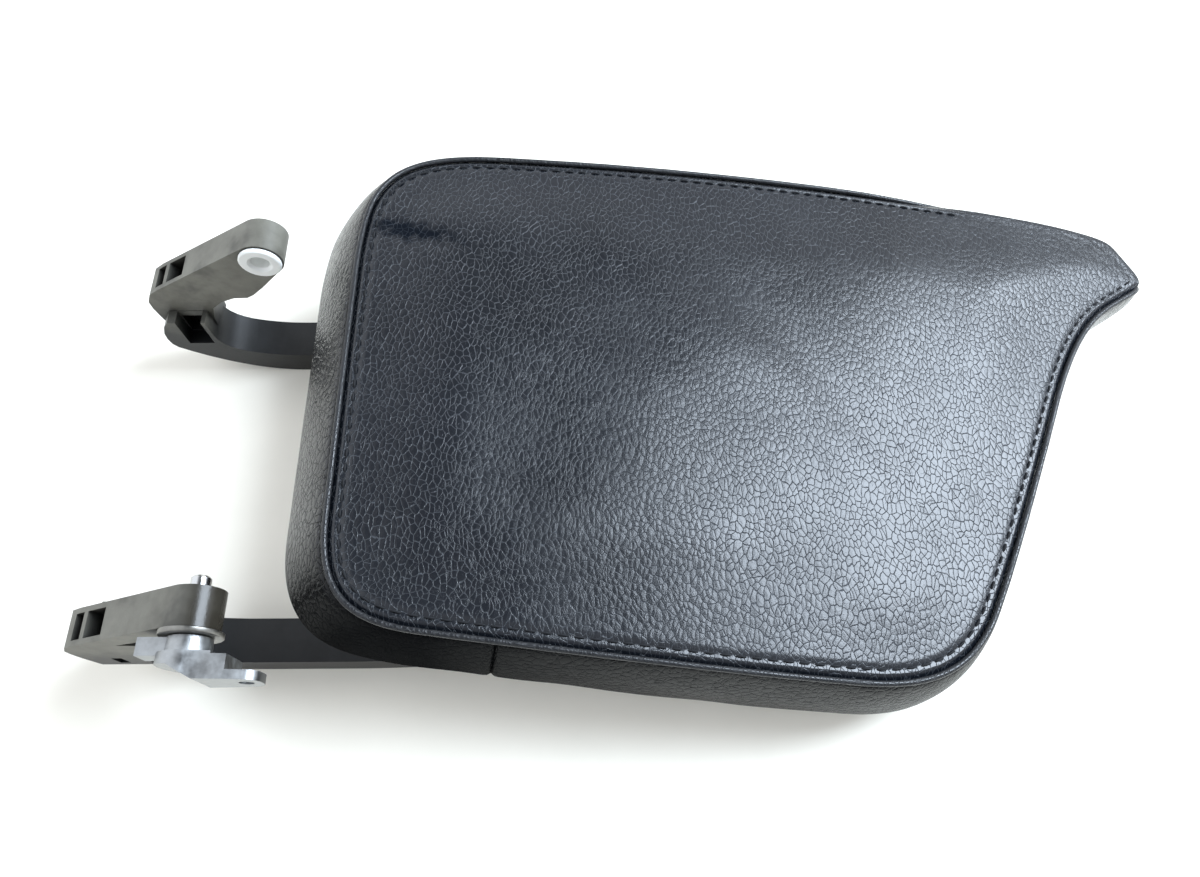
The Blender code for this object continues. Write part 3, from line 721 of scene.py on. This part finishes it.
# --------------------------------------------------------- welt and stitches
welt = []
for k in range(12):
    a = 2 * math.pi * k / 12
    r = []
    for i, (p, n) in enumerate(zip(OUT, NRM)):
        rad = 1.0 + 0.05 * noise.noise(Vector((p[0] * 0.12, p[1] * 0.12, 1.0)))
        off = -0.65 - 0.5 * rolled(*p) / 4.6 + rad * math.cos(a)
        r.append(Vector((p[0] + n[0] * off, p[1] + n[1] * off,
                         -1.15 - rolled(*p) + rad * math.sin(a))))
    welt.append(r)
welt = make("welt", skin(welt, closed_stack=True), M_WELT)
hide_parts("welt_piping")

top_bvh = BVHTree.FromPolygons(
    [LID.inverted() @ (v.co / MM) for v in top.data.vertices],
    [list(p.vertices) for p in top.data.polygons])


def stitch_line(inset):
    line = [(p[0] - n[0] * inset, p[1] - n[1] * inset) for p, n in zip(OUT, NRM)]
    return resample(line, 4.9)


bm = bmesh.new()
line = stitch_line(4.8)
for i, p in enumerate(line):
    q = line[(i + 1) % len(line)]
    a, b = Vector((*p, 0.0)), Vector((*q, 0.0))
    t = (b - a).normalized()
    side = Vector((-t.y, t.x, 0.0))
    mid = (a + b) / 2
    hit = top_bvh.ray_cast(Vector((mid.x, mid.y, 60.0)), Vector((0, 0, -1)))[0]
    if hit is None or rolled(mid.x, mid.y) > 2.2:
        continue
    secs = []
    for k in range(9):
        s = -1.0 + k / 4.0
        r = 0.36 * math.sqrt(max(0.03, 1.0 - abs(s) ** 4))
        c = mid + t * (s * 1.75)
        z = hit.z + 0.42 - 0.50 * s * s
        secs.append([Vector((c.x, c.y, z)) + side * (r * math.cos(g))
                     + Vector((0, 0, r * math.sin(g)))
                     for g in (2 * math.pi * j / 8 for j in range(8))])
    part = skin(secs, cap=True)
    tmp = bpy.data.meshes.new("t")
    part.to_mesh(tmp)
    part.free()
    bm.from_mesh(tmp)
    bpy.data.meshes.remove(tmp)
thread = make("topstitching", bm, M_THREAD)


# ---------------------------------------------------------------- side wrap
def wall_point(i, t, inset=0.0):
    """A place on the wrap: i along the outline, t from 0 top to 1 hem."""
    p, n = OUT[i % N_OUT], NRM[i % N_OUT]
    depth = 1.2 + rolled(*p) + (WALL_H - 1.2 - rolled(*p)) * t
    f = depth / WALL_H
    off = flare(n, p[0]) * f + 1.3 * math.sin(math.pi * f) - inset
    off -= 0.9 * math.exp(-t / 0.05)
    rear = step01(0.3, 0.9, -n[0])
    near = step01(0.2, 0.9, -n[1])
    corner = gauss(p[0], p[1], 20.0, 3.0, 26.0, 22.0)
    if corner > 0.02:                                  # gathered at the corner
        off += corner * 0.8 * noise.noise(Vector((
            p[0] * 0.16 - p[1] * 0.16, depth * 0.10, 5.0))) * math.sin(
            math.pi * min(1.0, t * 1.1)) * (0.4 + 0.6 * t)
    off += 0.35 * noise.noise(Vector((p[0] * 0.05, p[1] * 0.05, depth * 0.09)))
    return Vector((p[0] + n[0] * off, p[1] + n[1] * off, -depth))


def seam_index(lo_y, u):
    best, bi = 1e9, 0
    for i, p in enumerate(OUT):
        if (p[1] < 60.0) == lo_y and abs(p[0] - u) < best:
            best, bi = abs(p[0] - u), i
    return bi


i_near, i_far = seam_index(True, SIDE_SEAM_U), seam_index(False, SIDE_SEAM_U + 3.0)


def wrap_mesh(name, i0, i1):
    count = (i1 - i0) % N_OUT
    rows = []
    steps = 18
    for k in range(count + 1):
        i = i0 + k
        end = min(k, count - k)
        dip = 0.9 * math.exp(-(end * 1.5 / 1.1) ** 2)
        sec = []
        for s in range(steps + 1):
            sec.append(wall_point(i, s / steps, dip))
        last = sec[-1]
        n = NRM[i % N_OUT]
        for a in (30, 60, 90):                          # rolled hem
            g = math.radians(a)
            sec.append(last + Vector((-n[0] * 0.8 * (1 - math.cos(g)),
                                      -n[1] * 0.8 * (1 - math.cos(g)),
                                      -0.4 * math.sin(g))))
        rows.append(sec)
    bm = skin(rows, closed_ring=False)
    ob = make(name, bm, M_WRAP, smooth=0)
    so = ob.modifiers.new("thickness", "SOLIDIFY")
    so.thickness = 1.2 * MM
    so.offset = -1.0
    return ob


def outward(ob):
    p = ob.data.polygons[len(ob.data.polygons) // 2]
    c = LID.inverted() @ (p.center / MM)
    i = EDGE.find((c.x, c.y, 0.0))[1]
    n = LID.to_3x3().inverted() @ p.normal
    if n.x * NRM[i][0] + n.y * NRM[i][1] < 0:
        ob.data.flip_normals()


wf = wrap_mesh("wrap_front", i_near, i_far)
wr = wrap_mesh("wrap_rear", i_far, i_near)
for ob, n in ((wf, "side_wrap_front"), (wr, "side_wrap_rear")):
    outward(ob)
    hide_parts(n)

# ------------------------------------------------------------------- stage
me = bpy.data.meshes.new("floor")
me.from_pydata([(-3, -3, -0.0002), (3, -3, -0.0002), (3, 3, -0.0002), (-3, 3, -0.0002)], [], [(0, 1, 2, 3)])
floor = bpy.data.objects.new("floor", me)
bpy.context.scene.collection.objects.link(floor)
m, nt, b = new_mat("table_white", (0.90, 0.90, 0.885), 0.6)
co = coords(nt)
nt.links.new(ramp(nt, noise_tex(nt, co, 40.0).outputs["Fac"],
                  [(0.3, (0.92, 0.885, 0.79)), (0.7, (0.95, 0.912, 0.815))]),
             b.inputs["Base Color"])
me.materials.append(m)


def area(name, loc, target, size, energy, colour=(1, 1, 1), size_y=None):
    la = bpy.data.lights.new(name, "AREA")
    la.shape = "RECTANGLE"
    la.size, la.size_y = size, size_y or size
    la.energy = energy
    la.color = colour
    ob = bpy.data.objects.new(name, la)
    ob.location = loc
    d = Vector(target) - Vector(loc)
    ob.rotation_euler = d.to_track_quat("-Z", "Y").to_euler()
    bpy.context.scene.collection.objects.link(ob)
    return ob


area("window", (0.77, 0.30, 0.93), (0.08, -0.02, 0.05), 0.64, 30.0, (0.82, 0.93, 1.06), 0.80)
world = bpy.data.worlds.new("room")
bpy.context.scene.world = world
world.use_nodes = True
wt = world.node_tree
bg = wt.nodes["Background"]
wc = wt.nodes.new("ShaderNodeTexCoord")


def lobe(direction, lo, hi):
    """1 towards a direction, easing to 0 away from it."""
    dot = wt.nodes.new("ShaderNodeVectorMath")
    dot.operation = "DOT_PRODUCT"
    wt.links.new(wc.outputs["Generated"], dot.inputs[0])
    dot.inputs[1].default_value = Vector(direction).normalized()
    mr = wt.nodes.new("ShaderNodeMapRange")
    mr.interpolation_type = "SMOOTHSTEP"
    wt.links.new(dot.outputs["Value"], mr.inputs["Value"])
    mr.inputs["From Min"].default_value = lo
    mr.inputs["From Max"].default_value = hi
    return mr.outputs["Result"]


def w_math(op, a, b):
    n = wt.nodes.new("ShaderNodeMath")
    n.operation = op
    for k, v in enumerate((a, b)):
        if isinstance(v, (int, float)):
            n.inputs[k].default_value = v
        else:
            wt.links.new(v, n.inputs[k])
    return n.outputs[0]


viewer = w_math("MULTIPLY", lobe((0.0, -0.9, 0.42), 0.25, 0.95), -0.6)
phone = w_math("MULTIPLY", lobe((0.13, 0.34, 0.93), 0.86, 0.985), -1.05)
left = w_math("MULTIPLY", lobe((-0.85, 0.15, 0.45), 0.3, 0.95), 0.7)
total = w_math("ADD", w_math("ADD", w_math("ADD", 1.18, viewer), phone), left)
wt.links.new(w_math("MAXIMUM", total, 0.12), bg.inputs["Strength"])
bg.inputs["Color"].default_value = (0.93, 0.97, 1.03, 1.0)
vs = bpy.context.scene.view_settings
vs.view_transform = "Standard"
vs.look = "None"
vs.exposure = 0.0

# ------------------------------------------------------------------ camera
el, az, roll = math.radians(64.97), math.radians(0.043), math.radians(-0.314)
fwd = Vector((math.sin(az) * math.cos(el), math.cos(az) * math.cos(el),
              -math.sin(el)))
right = Vector((math.cos(az), -math.sin(az), 0.0))
up = right.cross(fwd)
x_ax = right * math.cos(roll) + up * math.sin(roll)
y_ax = -right * math.sin(roll) + up * math.cos(roll)
cam = bpy.data.cameras.new("camera")
cam.sensor_width = 36.0
cam.sensor_fit = "HORIZONTAL"
cam.lens = 912.46 / 1200.0 * 36.0
cam.clip_start = 0.01
co = bpy.data.objects.new("camera", cam)
mw = Matrix((x_ax, y_ax, -fwd)).transposed().to_4x4()
mw.translation = Vector((118.1 + HINGE.x, -61.6 + HINGE.y, 329.6)) * MM
co.matrix_world = mw
bpy.context.scene.collection.objects.link(co)
bpy.context.scene.camera = co

bpy.context.view_layer.update()
